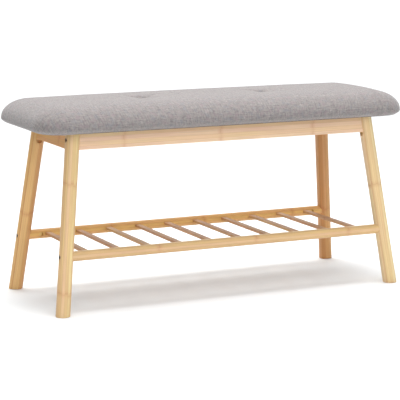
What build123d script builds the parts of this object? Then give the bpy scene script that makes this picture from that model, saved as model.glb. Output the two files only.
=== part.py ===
from build123d import *
import math
import os

# Entryway bench: four splayed round legs, leaning aprons, a slatted shoe shelf
# and an upholstered seat.
# +X runs along the bench, -Y is its front and +Z is up.
# The origin is on the floor, under the middle of the seat. Lengths are millimetres.

# Seat
SEAT_LENGTH = 900
SEAT_DEPTH = 315
SEAT_CORNER_RADIUS = 59
SEAT_UNDERSIDE = 388
SEAT_CREST = 447.5
SEAT_TOP_ROUNDING = 38
SEAT_BOTTOM_ROUNDING = 20
COVER_THICKNESS = 1
HEM_WIDTH = 17
DUST_COVER_CLEARANCE = 0.5
BOARD_THICKNESS = 12
BOARD_SETBACK = 24

# Tufts: each is a hollow pulled down by a tie that an anchor disc holds under the board
TUFT_X = 150
TUFT_DEPTH = 12
TUFT_RADIUS = 36
TIE_DIAMETER = 2.4
ANCHOR_DIAMETER = 18
ANCHOR_THICKNESS = 1.8
ANCHOR_RECESS_DIAMETER = 19
ANCHOR_RECESS_DEPTH = 2

# Legs
LEG_DIAMETER = 31.5
FOOT_X = 407
FOOT_Y = 153.5
LEG_TOP_X = 360
LEG_TOP_Y = 103.5
FOOT_EASING = 0.8

# Aprons and the slots in the legs that take their ends
APRON_THICKNESS = 15
APRON_BOTTOM = 350.5
APRON_EASING = 1.5
HOUSING_CLEARANCE = 0.2
HOUSING_FLOOR = 9
DOWEL_HEIGHT = 360
DOWEL_DIAMETER = 8
DOWEL_IN_APRON = 15
DOWEL_IN_LEG = 13

# Shelf
RAIL_DIAMETER = 22
RAIL_HEIGHT = 125.7
RAIL_SOCKET_DEPTH = 6.5
SLAT_COUNT = 10
SLAT_PITCH = 74.4
SLAT_WIDTH = 14
SLAT_THICKNESS = 6
SLAT_TOP = 130.1
SLAT_EASING = 1
SLAT_TENON = 8

# Furniture bolts and the barrel nuts that they screw into
APRON_BOLT_HEIGHT = 373
BOLT_DIAMETER = 6
BOLT_LENGTH = 55
BOLT_CLEARANCE_DIAMETER = 6.5
BOLT_HEAD_DIAMETER = 10
BOLT_HEAD_HEIGHT = 5
BOLT_HEAD_BORE = 10.5
BOLT_HEAD_SEAT_DEPTH = 6.5
BOLT_SOCKET_ACROSS_FLATS = 4
BOLT_SOCKET_DEPTH = 2.5
BOLT_TIP_ROOM = 2
NUT_DIAMETER = 10
NUT_LENGTH = 12
NUT_FROM_TIP = 6

# Seat brackets and their screws
BRACKET_X = 210
BRACKET_WIDTH = 32
BRACKET_FLANGE = 22
BRACKET_THICKNESS = 1.5
SCREW_SPACING = 16
SCREW_FROM_BEND = 13
SCREW_DIAMETER = 3.5
SCREW_LENGTH = 12
SCREW_HEAD_DIAMETER = 7
SCREW_HEAD_HEIGHT = 2.2

# Staples
STAPLE_CROWN = 10
STAPLE_WIRE = 0.8
STAPLE_DRIVEN = 7
STAPLES_ALONG = 14
STAPLES_ACROSS = 4
STAPLE_PITCH_ALONG = 60
STAPLE_PITCH_ACROSS = 52

SIDES_X = (("left", -1), ("right", 1))
SIDES_Y = (("front", -1), ("rear", 1))
TUFT_SPOTS = ((-TUFT_X, 0), (TUFT_X, 0))

# The front and rear aprons lean as the legs do, and a bracket's bend lies on their inner faces
LONG_APRON_LEAN = math.atan((FOOT_Y - LEG_TOP_Y) / SEAT_UNDERSIDE)
BRACKET_BEND_Y = LEG_TOP_Y - APRON_THICKNESS / 2 / math.cos(LONG_APRON_LEAN)


def leg_point(side_x, side_y, height):
    """Point on a leg's axis, at a height above the floor."""
    rise = height / SEAT_UNDERSIDE
    reach_x = FOOT_X + (LEG_TOP_X - FOOT_X) * rise
    reach_y = FOOT_Y + (LEG_TOP_Y - FOOT_Y) * rise
    return Vector(side_x * reach_x, side_y * reach_y, height)


def leg_axis(side_x, side_y):
    """Direction of a leg, from its foot to its top."""
    return (leg_point(side_x, side_y, SEAT_UNDERSIDE) - leg_point(side_x, side_y, 0)).normalized()


def long_apron_normal(side_y):
    """Outward normal of the front or rear apron, which leans as its legs do."""
    return Vector(0, side_y * SEAT_UNDERSIDE, FOOT_Y - LEG_TOP_Y).normalized()


def side_apron_normal(side_x):
    """Outward normal of the left or right apron, which leans as its legs do."""
    return Vector(side_x * SEAT_UNDERSIDE, 0, FOOT_X - LEG_TOP_X).normalized()


def housing(side_x, side_y, normal, inward):
    """Floor of the slot in a leg for an apron's end: local Y runs up the leg, Z leaves the leg."""
    axis = leg_axis(side_x, side_y)
    facing = axis.cross(normal).normalized()
    if facing.dot(inward) < 0:
        facing = facing * -1
    origin = leg_point(side_x, side_y, APRON_BOTTOM) + facing * HOUSING_FLOOR
    return Plane(origin=origin, x_dir=axis.cross(facing), z_dir=facing)


def long_housing(side_x, side_y):
    """Slot floor for the front or rear apron."""
    return housing(side_x, side_y, long_apron_normal(side_y), Vector(-side_x, 0, 0))


def side_housing(side_x, side_y):
    """Slot floor for the left or right apron."""
    return housing(side_x, side_y, side_apron_normal(side_x), Vector(0, -side_y, 0))


def apron_section(side, top_reach, foot_reach):
    """Corners of a leaning apron: level on top, square below."""
    slope = (foot_reach - top_reach) / SEAT_UNDERSIDE
    lean = math.atan(slope)
    across = APRON_THICKNESS / 2 * math.cos(lean)
    drop = APRON_THICKNESS / 2 * math.sin(lean)
    level = APRON_THICKNESS / 2 / math.cos(lean)
    bottom_reach = foot_reach - slope * APRON_BOTTOM
    return [
        (side * (top_reach + level), SEAT_UNDERSIDE),
        (side * (top_reach - level), SEAT_UNDERSIDE),
        (side * (bottom_reach - across), APRON_BOTTOM - drop),
        (side * (bottom_reach + across), APRON_BOTTOM + drop),
    ]


def bolt_seat(side_x, side_y, height):
    """Plane under a bolt's head, in a leg's outer side, facing out."""
    centre = leg_point(side_x, side_y, height)
    seat = side_x * (LEG_DIAMETER / 2 - BOLT_HEAD_SEAT_DEPTH)
    return Plane(origin=centre + Vector(seat, 0, 0), x_dir=(0, 1, 0), z_dir=(side_x, 0, 0))


def nut_plane(side_x, side_y, height, outward):
    """Plane across a barrel nut's middle, facing out of the bench."""
    bolt = bolt_seat(side_x, side_y, height)
    centre = bolt.origin - bolt.z_dir * (BOLT_LENGTH - NUT_FROM_TIP)
    return Plane(origin=centre, x_dir=(1, 0, 0), z_dir=outward)


def bolt_joints():
    """Every bolted joint: leg, height and the outward direction of its barrel nut."""
    joints = []
    for _, side_x in SIDES_X:
        for _, side_y in SIDES_Y:
            joints.append((side_x, side_y, APRON_BOLT_HEIGHT, long_apron_normal(side_y)))
            joints.append((side_x, side_y, RAIL_HEIGHT, Vector(0, side_y, 0)))
    return joints


def dowel_plane(side_x, side_y):
    """Plane at a dowel's end inside the leg, facing the middle of the side apron."""
    floor = leg_point(side_x, side_y, DOWEL_HEIGHT) - Vector(0, side_y * HOUSING_FLOOR, 0)
    return Plane(
        origin=floor + Vector(0, side_y * DOWEL_IN_LEG, 0), x_dir=(1, 0, 0), z_dir=(0, -side_y, 0)
    )


def bracket_planes(side_y):
    """Planes under the screw heads of the seat flange and of the apron flange, at X = 0."""
    flange_y = side_y * (BRACKET_BEND_Y - SCREW_FROM_BEND)
    up = Plane(origin=(0, flange_y, SEAT_UNDERSIDE - BRACKET_THICKNESS))
    normal = long_apron_normal(side_y)
    down_the_face = Vector(0, side_y * math.sin(LONG_APRON_LEAN), -math.cos(LONG_APRON_LEAN))
    bend = Vector(0, side_y * BRACKET_BEND_Y, SEAT_UNDERSIDE)
    on_face = bend + down_the_face * SCREW_FROM_BEND
    out = Plane(origin=on_face - normal * BRACKET_THICKNESS, x_dir=(1, 0, 0), z_dir=normal)
    return up, out


def bracket_section(side_y):
    """Corners of a bent strip: level under the seat, leaning down the apron's inner face."""
    flange_end = BRACKET_BEND_Y - BRACKET_FLANGE
    flange_y = BRACKET_BEND_Y + BRACKET_FLANGE * math.sin(LONG_APRON_LEAN)
    flange_bottom = SEAT_UNDERSIDE - BRACKET_FLANGE * math.cos(LONG_APRON_LEAN)
    under = SEAT_UNDERSIDE - BRACKET_THICKNESS
    strip = BRACKET_THICKNESS / math.cos(LONG_APRON_LEAN)
    inner_bend_y = BRACKET_BEND_Y + BRACKET_THICKNESS * math.tan(LONG_APRON_LEAN) - strip
    return [
        (side_y * BRACKET_BEND_Y, SEAT_UNDERSIDE),
        (side_y * flange_end, SEAT_UNDERSIDE),
        (side_y * flange_end, under),
        (side_y * inner_bend_y, under),
        (side_y * (flange_y - strip), flange_bottom),
        (side_y * flange_y, flange_bottom),
    ]


def screw_spots():
    """Places of the screws along X, on each side of every bracket's middle."""
    return [
        (side * BRACKET_X + end * SCREW_SPACING / 2, 0) for side in (-1, 1) for end in (-1, 1)
    ]


def pad_body(inset):
    """Outer form of the upholstery, drawn in by an inset on every side."""
    with BuildPart() as pad:
        with BuildSketch(Plane.XY.offset(SEAT_UNDERSIDE + inset)):
            RectangleRounded(
                SEAT_LENGTH - 2 * inset, SEAT_DEPTH - 2 * inset, SEAT_CORNER_RADIUS - inset
            )
        extrude(amount=SEAT_CREST - SEAT_UNDERSIDE - 2 * inset)
        fillet(pad.faces().sort_by(Axis.Z)[-1].edges(), SEAT_TOP_ROUNDING - inset)
        fillet(pad.faces().sort_by(Axis.Z)[0].edges(), SEAT_BOTTOM_ROUNDING - inset)
        with Locations([(x, y, SEAT_CREST - inset) for x, y in TUFT_SPOTS]):
            Cone(
                TIE_DIAMETER,
                TUFT_RADIUS,
                TUFT_DEPTH,
                align=(Align.CENTER, Align.CENTER, Align.MAX),
                mode=Mode.SUBTRACT,
            )
    return pad.part


os.makedirs("parts", exist_ok=True)

# Legs: round bars, cut level at the floor and under the seat
for end, side_y in SIDES_Y:
    for hand, side_x in SIDES_X:
        with BuildPart() as leg:
            below_floor = leg_point(side_x, side_y, -LEG_DIAMETER)
            with BuildSketch(Plane(origin=below_floor, z_dir=leg_axis(side_x, side_y))):
                Circle(LEG_DIAMETER / 2)
            extrude(amount=SEAT_UNDERSIDE + 3 * LEG_DIAMETER)
            split(bisect_by=Plane.XY, keep=Keep.TOP)
            split(bisect_by=Plane.XY.offset(SEAT_UNDERSIDE), keep=Keep.BOTTOM)
            chamfer(leg.edges().group_by(Axis.Z)[0], FOOT_EASING)

            # Slots for the ends of the two aprons, with a round lower end
            for floor in (long_housing(side_x, side_y), side_housing(side_x, side_y)):
                with BuildSketch(floor):
                    Circle(APRON_THICKNESS / 2 + HOUSING_CLEARANCE)
                    Rectangle(
                        APRON_THICKNESS + 2 * HOUSING_CLEARANCE,
                        2 * (SEAT_UNDERSIDE - APRON_BOTTOM),
                        align=(Align.CENTER, Align.MIN),
                    )
                extrude(amount=LEG_DIAMETER, mode=Mode.SUBTRACT)

            # Counterbored holes for the two bolts, in from the outer side
            for height in (APRON_BOLT_HEIGHT, RAIL_HEIGHT):
                seat = bolt_seat(side_x, side_y, height)
                with BuildSketch(seat):
                    Circle(BOLT_CLEARANCE_DIAMETER / 2)
                extrude(amount=-LEG_DIAMETER, mode=Mode.SUBTRACT)
                with BuildSketch(seat):
                    Circle(BOLT_HEAD_BORE / 2)
                extrude(amount=LEG_DIAMETER, mode=Mode.SUBTRACT)

            # Socket for the end of the shelf rail
            rail_end = leg_point(side_x, side_y, RAIL_HEIGHT) - Vector(
                side_x * (LEG_DIAMETER / 2 - RAIL_SOCKET_DEPTH), 0, 0
            )
            with BuildSketch(Plane(origin=rail_end, x_dir=(0, 1, 0), z_dir=(-side_x, 0, 0))):
                Circle(RAIL_DIAMETER / 2)
            extrude(amount=LEG_DIAMETER, mode=Mode.SUBTRACT)

            # Hole for the side apron's dowel, open into the slot
            with BuildSketch(dowel_plane(side_x, side_y)):
                Circle(DOWEL_DIAMETER / 2)
            extrude(amount=LEG_DIAMETER, mode=Mode.SUBTRACT)
        leg.part.label = f"leg_{end}_{hand}"
        export_step(leg.part, f"parts/leg_{end}_{hand}.step")

# Front and rear aprons: leaning boards that run from leg to leg
for end, side_y in SIDES_Y:
    with BuildPart() as long_apron:
        with BuildSketch(Plane.YZ):
            with BuildLine():
                Polyline(apron_section(side_y, LEG_TOP_Y, FOOT_Y), close=True)
            make_face()
        extrude(amount=FOOT_X, both=True)
        fillet(long_apron.edges().filter_by(Axis.X).sort_by(Axis.Z)[:2], APRON_EASING)
        for _, side_x in SIDES_X:
            split(bisect_by=long_housing(side_x, side_y), keep=Keep.TOP)

            # Bolt hole in the end, and the cross hole for its barrel nut, open on the inner face
            with BuildSketch(bolt_seat(side_x, side_y, APRON_BOLT_HEIGHT)):
                Circle(BOLT_CLEARANCE_DIAMETER / 2)
            extrude(amount=-BOLT_LENGTH - BOLT_TIP_ROOM, mode=Mode.SUBTRACT)
            nut = nut_plane(side_x, side_y, APRON_BOLT_HEIGHT, long_apron_normal(side_y))
            with BuildSketch(nut.offset(NUT_LENGTH / 2)):
                Circle(NUT_DIAMETER / 2)
            extrude(amount=-NUT_LENGTH - APRON_THICKNESS, mode=Mode.SUBTRACT)

        # Pilot holes for the seat brackets' screws
        with BuildSketch(bracket_planes(side_y)[1]):
            with Locations(screw_spots()):
                Circle(SCREW_DIAMETER / 2)
        extrude(amount=SCREW_LENGTH, mode=Mode.SUBTRACT)
    long_apron.part.label = f"apron_{end}"
    export_step(long_apron.part, f"parts/apron_{end}.step")

# Left and right aprons: glued and dowelled between the legs of each end frame
for hand, side_x in SIDES_X:
    with BuildPart() as side_apron:
        with BuildSketch(Plane.XZ):
            with BuildLine():
                Polyline(apron_section(side_x, LEG_TOP_X, FOOT_X), close=True)
            make_face()
        extrude(amount=FOOT_Y, both=True)
        fillet(side_apron.edges().filter_by(Axis.Y).sort_by(Axis.Z)[:2], APRON_EASING)
        for _, side_y in SIDES_Y:
            split(bisect_by=side_housing(side_x, side_y), keep=Keep.TOP)
            with BuildSketch(dowel_plane(side_x, side_y)):
                Circle(DOWEL_DIAMETER / 2)
            extrude(amount=DOWEL_IN_LEG + DOWEL_IN_APRON, mode=Mode.SUBTRACT)
    side_apron.part.label = f"apron_{hand}"
    export_step(side_apron.part, f"parts/apron_{hand}.step")

with BuildPart() as side_apron_dowels:
    for _, side_x in SIDES_X:
        for _, side_y in SIDES_Y:
            with BuildSketch(dowel_plane(side_x, side_y)):
                Circle(DOWEL_DIAMETER / 2)
            extrude(amount=DOWEL_IN_LEG + DOWEL_IN_APRON)
side_apron_dowels.part.label = "side_apron_dowels"
export_step(side_apron_dowels.part, "parts/side_apron_dowels.step")

# Shelf rails: round bars between the legs, with a mortise for each slat
rail_reach = leg_point(1, 1, RAIL_HEIGHT)
rail_half_length = rail_reach.X - LEG_DIAMETER / 2 + RAIL_SOCKET_DEPTH
slat_reach = rail_reach.Y - RAIL_DIAMETER / 2 + SLAT_TENON
slat_middle = SLAT_TOP - SLAT_THICKNESS / 2
for end, side_y in SIDES_Y:
    with BuildPart() as shelf_rail:
        start = (-rail_half_length, side_y * rail_reach.Y, RAIL_HEIGHT)
        with BuildSketch(Plane(origin=start, x_dir=(0, 1, 0), z_dir=(1, 0, 0))):
            Circle(RAIL_DIAMETER / 2)
        extrude(amount=2 * rail_half_length)
        mortise_floor = (0, side_y * slat_reach, slat_middle)
        with BuildSketch(Plane(origin=mortise_floor, x_dir=(1, 0, 0), z_dir=(0, -side_y, 0))):
            with GridLocations(SLAT_PITCH, 0, SLAT_COUNT, 1):
                Rectangle(SLAT_WIDTH, SLAT_THICKNESS)
        extrude(amount=RAIL_DIAMETER, mode=Mode.SUBTRACT)
        for _, side_x in SIDES_X:
            with BuildSketch(bolt_seat(side_x, side_y, RAIL_HEIGHT)):
                Circle(BOLT_CLEARANCE_DIAMETER / 2)
            extrude(amount=-BOLT_LENGTH - BOLT_TIP_ROOM, mode=Mode.SUBTRACT)
            nut = nut_plane(side_x, side_y, RAIL_HEIGHT, Vector(0, side_y, 0))
            with BuildSketch(nut.offset(NUT_LENGTH / 2)):
                Circle(NUT_DIAMETER / 2)
            extrude(amount=-NUT_LENGTH - RAIL_DIAMETER, mode=Mode.SUBTRACT)
    shelf_rail.part.label = f"shelf_rail_{end}"
    export_step(shelf_rail.part, f"parts/shelf_rail_{end}.step")

# Shelf slats: flat bars whose ends sit in the rails
for number in range(SLAT_COUNT):
    slat_x = (number - (SLAT_COUNT - 1) / 2) * SLAT_PITCH
    with BuildPart() as slat:
        with BuildSketch(Plane(origin=(slat_x, 0, slat_middle), x_dir=(1, 0, 0), z_dir=(0, 1, 0))):
            RectangleRounded(SLAT_WIDTH, SLAT_THICKNESS, SLAT_EASING)
        extrude(amount=slat_reach, both=True)
    slat.part.label = f"slat_{number + 1:02d}"
    export_step(slat.part, f"parts/slat_{number + 1:02d}.step")

# Bolts with a hexagon socket, their heads sunk in the legs' outer sides
with BuildPart() as frame_bolts:
    for side_x, side_y, height, outward in bolt_joints():
        seat = bolt_seat(side_x, side_y, height)
        with BuildSketch(seat):
            Circle(BOLT_DIAMETER / 2)
        extrude(amount=-BOLT_LENGTH)
        with BuildSketch(seat):
            Circle(BOLT_HEAD_DIAMETER / 2)
        extrude(amount=BOLT_HEAD_HEIGHT)
        with BuildSketch(seat.offset(BOLT_HEAD_HEIGHT)):
            RegularPolygon(BOLT_SOCKET_ACROSS_FLATS / 2, 6, major_radius=False)
        extrude(amount=-BOLT_SOCKET_DEPTH, mode=Mode.SUBTRACT)
frame_bolts.part.label = "frame_bolts"
export_step(frame_bolts.part, "parts/frame_bolts.step")

with BuildPart() as barrel_nuts:
    for side_x, side_y, height, outward in bolt_joints():
        with BuildSketch(nut_plane(side_x, side_y, height, outward)):
            Circle(NUT_DIAMETER / 2)
        extrude(amount=NUT_LENGTH / 2, both=True)
    for side_x, side_y, height, outward in bolt_joints():
        with BuildSketch(bolt_seat(side_x, side_y, height)):
            Circle(BOLT_DIAMETER / 2)
        extrude(amount=-BOLT_LENGTH - BOLT_TIP_ROOM, mode=Mode.SUBTRACT)
barrel_nuts.part.label = "barrel_nuts"
export_step(barrel_nuts.part, "parts/barrel_nuts.step")

# Seat brackets: bent strips that join the long aprons to the seat board
for end, side_y in SIDES_Y:
    corners = bracket_section(side_y)
    for hand, side_x in SIDES_X:
        with BuildPart() as seat_bracket:
            with BuildSketch(Plane.YZ.offset(side_x * BRACKET_X)):
                with BuildLine():
                    Polyline(corners, close=True)
                make_face()
            extrude(amount=BRACKET_WIDTH / 2, both=True)
            for screw_plane in bracket_planes(side_y):
                with BuildSketch(screw_plane):
                    with Locations(screw_spots()):
                        Circle(SCREW_DIAMETER / 2)
                extrude(amount=SCREW_LENGTH, mode=Mode.SUBTRACT)
        seat_bracket.part.label = f"seat_bracket_{end}_{hand}"
        export_step(seat_bracket.part, f"parts/seat_bracket_{end}_{hand}.step")

with BuildPart() as bracket_screws:
    for _, side_y in SIDES_Y:
        for screw_plane in bracket_planes(side_y):
            with BuildSketch(screw_plane):
                with Locations(screw_spots()):
                    Circle(SCREW_DIAMETER / 2)
            extrude(amount=SCREW_LENGTH)
            with BuildSketch(screw_plane):
                with Locations(screw_spots()):
                    Circle(SCREW_HEAD_DIAMETER / 2)
            extrude(amount=-SCREW_HEAD_HEIGHT)
bracket_screws.part.label = "bracket_screws"
export_step(bracket_screws.part, "parts/bracket_screws.step")

# Hem of the cover, turned in under the seat board
hem_length = SEAT_LENGTH - 2 * (SEAT_BOTTOM_ROUNDING + HEM_WIDTH)
hem_depth = SEAT_DEPTH - 2 * (SEAT_BOTTOM_ROUNDING + HEM_WIDTH)
hem_corner = SEAT_CORNER_RADIUS - SEAT_BOTTOM_ROUNDING - HEM_WIDTH

# Staples that hold the hem to the board
staple_line_y = hem_depth / 2 + HEM_WIDTH / 2
staple_line_x = hem_length / 2 + HEM_WIDTH / 2
crown_plane = Plane.XY.offset(SEAT_UNDERSIDE - STAPLE_WIRE)
leg_spacing = STAPLE_CROWN - STAPLE_WIRE
with BuildPart() as cover_staples:
    with BuildSketch(crown_plane):
        with GridLocations(STAPLE_PITCH_ALONG, 2 * staple_line_y, STAPLES_ALONG, 2):
            Rectangle(STAPLE_CROWN, STAPLE_WIRE)
        with GridLocations(2 * staple_line_x, STAPLE_PITCH_ACROSS, 2, STAPLES_ACROSS):
            Rectangle(STAPLE_WIRE, STAPLE_CROWN)
    extrude(amount=STAPLE_WIRE)
    with BuildSketch(crown_plane):
        with GridLocations(STAPLE_PITCH_ALONG, 2 * staple_line_y, STAPLES_ALONG, 2):
            with GridLocations(leg_spacing, 0, 2, 1):
                Rectangle(STAPLE_WIRE, STAPLE_WIRE)
        with GridLocations(2 * staple_line_x, STAPLE_PITCH_ACROSS, 2, STAPLES_ACROSS):
            with GridLocations(0, leg_spacing, 1, 2):
                Rectangle(STAPLE_WIRE, STAPLE_WIRE)
    extrude(amount=STAPLE_WIRE + STAPLE_DRIVEN)
cover_staples.part.label = "cover_staples"
export_step(cover_staples.part, "parts/cover_staples.step")

# Seat board, with holes for screws, staples and ties, and a recess under each tuft for its anchor
board_bottom = SEAT_UNDERSIDE + COVER_THICKNESS
board_length = SEAT_LENGTH - 2 * BOARD_SETBACK
board_depth = SEAT_DEPTH - 2 * BOARD_SETBACK
board_corner = SEAT_CORNER_RADIUS - BOARD_SETBACK
with BuildPart() as seat_board:
    with BuildSketch(Plane.XY.offset(board_bottom)):
        RectangleRounded(board_length, board_depth, board_corner)
    extrude(amount=BOARD_THICKNESS)
    with BuildSketch(Plane.XY.offset(board_bottom)):
        with Locations(TUFT_SPOTS):
            Circle(ANCHOR_RECESS_DIAMETER / 2)
    extrude(amount=ANCHOR_RECESS_DEPTH, mode=Mode.SUBTRACT)
    with BuildSketch(Plane.XY.offset(board_bottom)):
        with Locations(TUFT_SPOTS):
            Circle(TIE_DIAMETER / 2)
    extrude(amount=BOARD_THICKNESS, mode=Mode.SUBTRACT)
    for _, side_y in SIDES_Y:
        with BuildSketch(bracket_planes(side_y)[0]):
            with Locations(screw_spots()):
                Circle(SCREW_DIAMETER / 2)
        extrude(amount=SCREW_LENGTH, mode=Mode.SUBTRACT)
    add(cover_staples.part, mode=Mode.SUBTRACT)
seat_board.part.label = "seat_board"
export_step(seat_board.part, "parts/seat_board.step")

# Foam: fills the cover and wraps the edge of the board
with BuildPart() as seat_foam:
    add(pad_body(COVER_THICKNESS))
    with BuildSketch(Plane.XY.offset(board_bottom)):
        RectangleRounded(board_length, board_depth, board_corner)
    extrude(amount=BOARD_THICKNESS, mode=Mode.SUBTRACT)
    with BuildSketch(Plane.XY.offset(board_bottom)):
        with Locations(TUFT_SPOTS):
            Circle(TIE_DIAMETER / 2)
    extrude(amount=SEAT_CREST - board_bottom, mode=Mode.SUBTRACT)
seat_foam.part.label = "seat_foam"
export_step(seat_foam.part, "parts/seat_foam.step")

# Fabric cover: a skin over the foam, with its hem turned in under the board
with BuildPart() as seat_cover:
    add(pad_body(0))
    add(pad_body(COVER_THICKNESS), mode=Mode.SUBTRACT)
    with BuildSketch(Plane.XY.offset(SEAT_UNDERSIDE)):
        RectangleRounded(hem_length, hem_depth, hem_corner)
    extrude(amount=COVER_THICKNESS, mode=Mode.SUBTRACT)
    add(cover_staples.part, mode=Mode.SUBTRACT)
seat_cover.part.label = "seat_cover"
export_step(seat_cover.part, "parts/seat_cover.step")

# Dust cover: a thin sheet under the board, inside the hem
with BuildPart() as dust_cover:
    with BuildSketch(Plane.XY.offset(SEAT_UNDERSIDE)):
        RectangleRounded(
            hem_length - 2 * DUST_COVER_CLEARANCE,
            hem_depth - 2 * DUST_COVER_CLEARANCE,
            hem_corner - DUST_COVER_CLEARANCE,
        )
    extrude(amount=COVER_THICKNESS)
    for _, side_y in SIDES_Y:
        with BuildSketch(bracket_planes(side_y)[0]):
            with Locations(screw_spots()):
                Circle(SCREW_DIAMETER / 2)
        extrude(amount=SCREW_LENGTH, mode=Mode.SUBTRACT)
dust_cover.part.label = "dust_cover"
export_step(dust_cover.part, "parts/dust_cover.step")

# Ties and anchors that hold the tufts down
tie_bottom = board_bottom + ANCHOR_RECESS_DEPTH - ANCHOR_THICKNESS
with BuildPart() as tuft_ties:
    with BuildSketch(Plane.XY.offset(tie_bottom)):
        with Locations(TUFT_SPOTS):
            Circle(TIE_DIAMETER / 2)
    extrude(amount=SEAT_CREST - COVER_THICKNESS - TUFT_DEPTH - tie_bottom)
tuft_ties.part.label = "tuft_ties"
export_step(tuft_ties.part, "parts/tuft_ties.step")

with BuildPart() as tuft_anchors:
    with BuildSketch(Plane.XY.offset(tie_bottom)):
        with Locations(TUFT_SPOTS):
            Circle(ANCHOR_DIAMETER / 2)
            Circle(TIE_DIAMETER / 2, mode=Mode.SUBTRACT)
    extrude(amount=ANCHOR_THICKNESS)
tuft_anchors.part.label = "tuft_anchors"
export_step(tuft_anchors.part, "parts/tuft_anchors.step")
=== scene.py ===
"""Entryway bench: the visual model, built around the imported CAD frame. Lengths are in metres, +X runs
along the bench, -Y faces the camera and +Z is up, with the floor at zero."""
import math

import bpy
from mathutils import Matrix, Vector


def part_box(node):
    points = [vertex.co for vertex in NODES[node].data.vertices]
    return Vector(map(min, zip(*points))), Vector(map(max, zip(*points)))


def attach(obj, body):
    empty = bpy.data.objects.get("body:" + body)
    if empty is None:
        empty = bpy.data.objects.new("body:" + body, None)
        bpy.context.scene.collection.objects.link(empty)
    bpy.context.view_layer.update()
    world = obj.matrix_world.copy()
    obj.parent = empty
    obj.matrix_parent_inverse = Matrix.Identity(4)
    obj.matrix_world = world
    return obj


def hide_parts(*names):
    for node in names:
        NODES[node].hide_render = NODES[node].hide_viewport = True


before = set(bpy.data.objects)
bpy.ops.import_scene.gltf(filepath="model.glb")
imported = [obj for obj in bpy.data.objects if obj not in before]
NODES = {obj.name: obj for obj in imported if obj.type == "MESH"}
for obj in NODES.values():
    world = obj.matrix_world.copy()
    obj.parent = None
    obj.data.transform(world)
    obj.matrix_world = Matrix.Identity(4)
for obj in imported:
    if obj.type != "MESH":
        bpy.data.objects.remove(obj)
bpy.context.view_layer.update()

# The camera, fitted to the edges of the legs, rails and aprons.
CAMERA_PLACE = (-1.6729, -3.5409, 0.8745)
CAMERA_YAW = 0.438887
CAMERA_PITCH = 0.170697
CAMERA_LENS = 155.57
SENSOR_WIDTH = 36.0

# Seat: the plan comes from the CAD cover, the section from the seat's silhouette. The crown stands a
# little proud of the CAD cover.
COVER_LOW, COVER_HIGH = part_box("seat_cover")
BOARD_LOW, BOARD_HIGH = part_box("seat_board")
DUST_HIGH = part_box("dust_cover")[1]
SEAT_LENGTH = COVER_HIGH.x
SEAT_DEPTH = COVER_HIGH.y
UNDERSIDE = COVER_LOW.z
CORNER_RADIUS = 0.059
CORNER_TIGHTENING = 0.95
TIGHTEST_CORNER = 0.009
TIGHTEST_UNDER_CORNER = 0.010
WIDEST_LEVEL = 0.0121
BOTTOM_TUCK = 0.0126
SHOULDER_WIDTH = 0.0655
SHOULDER_FULLNESS = 0.91
CROWN_ALONG = 0.0015
CROWN_ACROSS = 0.0065
TOP_PROUD = 0.0012
SHOULDER_LEVEL = COVER_HIGH.z - UNDERSIDE - CROWN_ALONG - CROWN_ACROSS + TOP_PROUD
SIDE_PULL_IN = 0.0012

# The cover's lower roll ends a little above the hem, highest away from the corners, and comes down to
# the hem further in. LIFT_FADE is where along the seat the lift ends, and how long it takes to.
EDGE_LIFT = 0.0009
FRONT_LIFT = 0.0020
LIFT_END = 0.0232
LIFT_FADE = (0.375, 0.060)
HEM_INSET = SEAT_DEPTH - DUST_HIGH.y
HEM_LEVEL = 0.0007
BOARD_GAP = 0.0002
BOARD_INSET = SEAT_DEPTH - BOARD_HIGH.y

# Tufts: a wide basin and a steep pit, each (depth, radius), with four folds that run out on the
# diagonals, each (angle, strength). The limit keeps the pits clear of the tips of the ties.
TUFT_SPOTS = ((-0.150, 0.0), (0.150, 0.0))
TUFT_BASIN = (0.0042, 0.0190)
TUFT_PIT = (0.0086, 0.0155)
FOLDS = ((36, 1.0), (144, 1.0), (-50, 0.4), (-130, 0.4))
FOLD_DEPTH = 0.0085
FOLD_WIDTH = 0.0062
FOLD_REACH = 0.058
FOLD_START = 0.012
FOLD_FADE = 1.3
TUFT_LIMIT = 0.0127
LIMIT_SHARPNESS = 8

# The mesh of the seat: its steps along the sides, close together within reach of a tuft, the steps in
# each corner, down the shoulder and down the roll under it, and the insets of the rings underneath.
FINE_REACH = 0.050
FINE_STEP = 0.0030
COARSE_STEP = 0.0085
SIDE_SPAN = 0.375
END_SPAN = 0.090
CORNER_STEPS = 12
SHOULDER_STEPS = 12
ROLL_STEPS = 4
ROLL_RINGS = (0.0160, 0.0195)
HEM_RINGS = (0.0275, 0.0325)
BOARD_BOTTOM_RING = 0.030
BOARD_TOP_RINGS = (0.034, 0.048)
FOLD_BACK = 0.0006
BOARD_EDGE = 0.0008

# Cloth: the pad starts a little small, and pressure fills it out to the wanted form. Only a share of
# what the cloth does beyond that form is kept, and it may sink by no more than the drop.
SLACK = 0.004
CLOTH_FRAMES = 20
CLOTH_PRESSURE = 4.0
CLOTH_REACH = 0.007
CLOTH_SHARE = 0.3
CLOTH_DROP = 0.0003
TIE_REACH = 0.004
TOP_FROM = 0.9

# The axis of the right rear leg, at the seat's underside and at the floor. The others mirror it.
LEG_TOP = Vector((0.360, 0.1035, UNDERSIDE))
LEG_FOOT = Vector((0.407, 0.1535, 0.0))


# ---------------------------------------------------------------- shader helpers


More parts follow.
